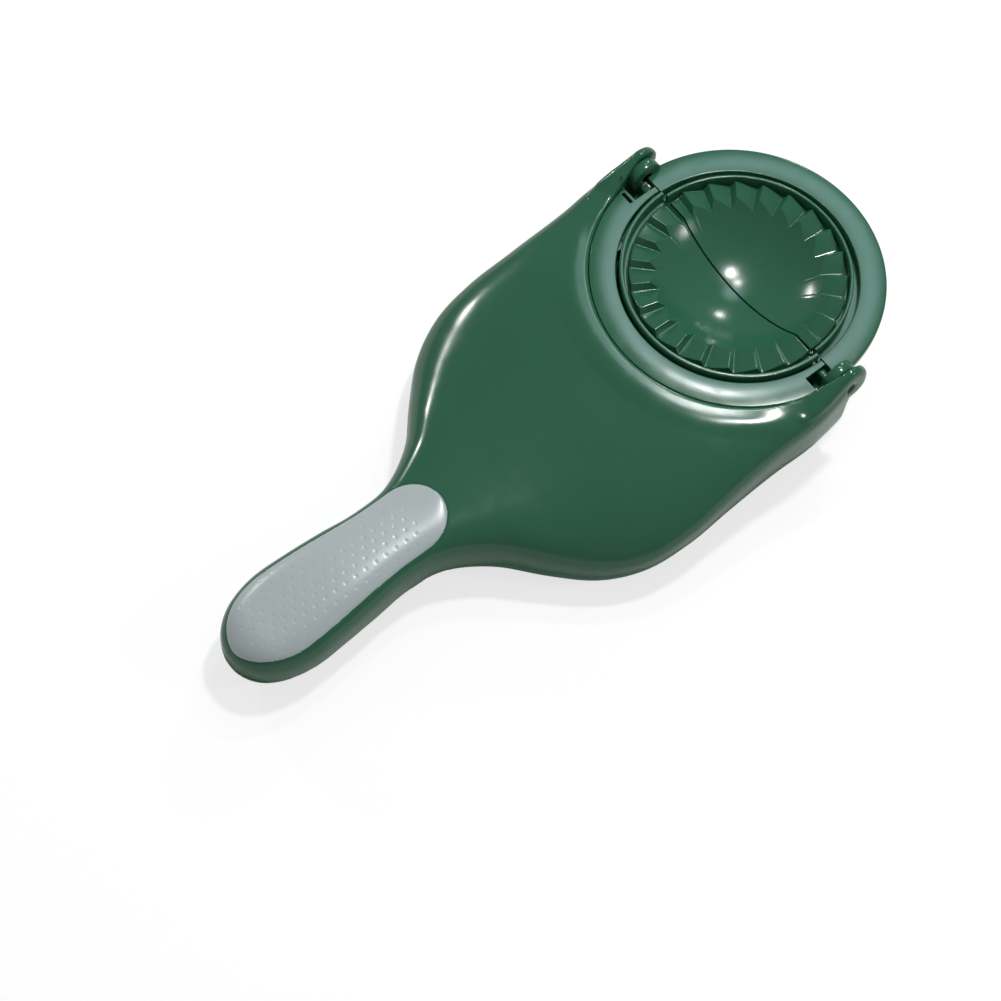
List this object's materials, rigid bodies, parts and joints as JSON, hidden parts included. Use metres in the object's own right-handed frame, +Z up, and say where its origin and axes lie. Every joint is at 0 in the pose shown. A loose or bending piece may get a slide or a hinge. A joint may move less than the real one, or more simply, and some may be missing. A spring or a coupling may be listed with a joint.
{
  "type": "dumpling maker",
  "caption": "Hand-held dumpling press: a hollow body with a dimpled grip, a pleated bowl half under a rim with hinge ears, and a folding leaf with the matching half.",
  "frame": {"origin": "under the middle of the whole length with the leaf laid open, on the plane that the flat base rests on", "axes": "+X from the handle to the leaf, +Y across along the hinge line, +Z up"},
  "size_m": [0.2, 0.0894, 0.036],
  "materials": {
    "green_plastic": "glossy",
    "grip_rubber": "satin",
    "steel": "satin"
  },
  "bodies": {
    "body": {"upper_shell": "green_plastic", "base_cover": "green_plastic", "grip_pad": "grip_rubber", "deck_plate": "green_plastic", "rear_mould": "green_plastic", "hinge_pin_left": "steel", "hinge_pin_right": "steel", "cover_screws": "steel", "mould_screws": "steel"},
    "leaf": {"leaf_frame": "green_plastic", "front_mould": "green_plastic", "leaf_screws": "steel"}
  },
  "joints": [
    {"name": "leaf_hinge", "type": "hinge", "parent": "body", "child": "leaf", "pos_m": [0.062, 0, 0.03], "axis": [0, -1, 0], "range_deg": [0, 180]}
  ]
}
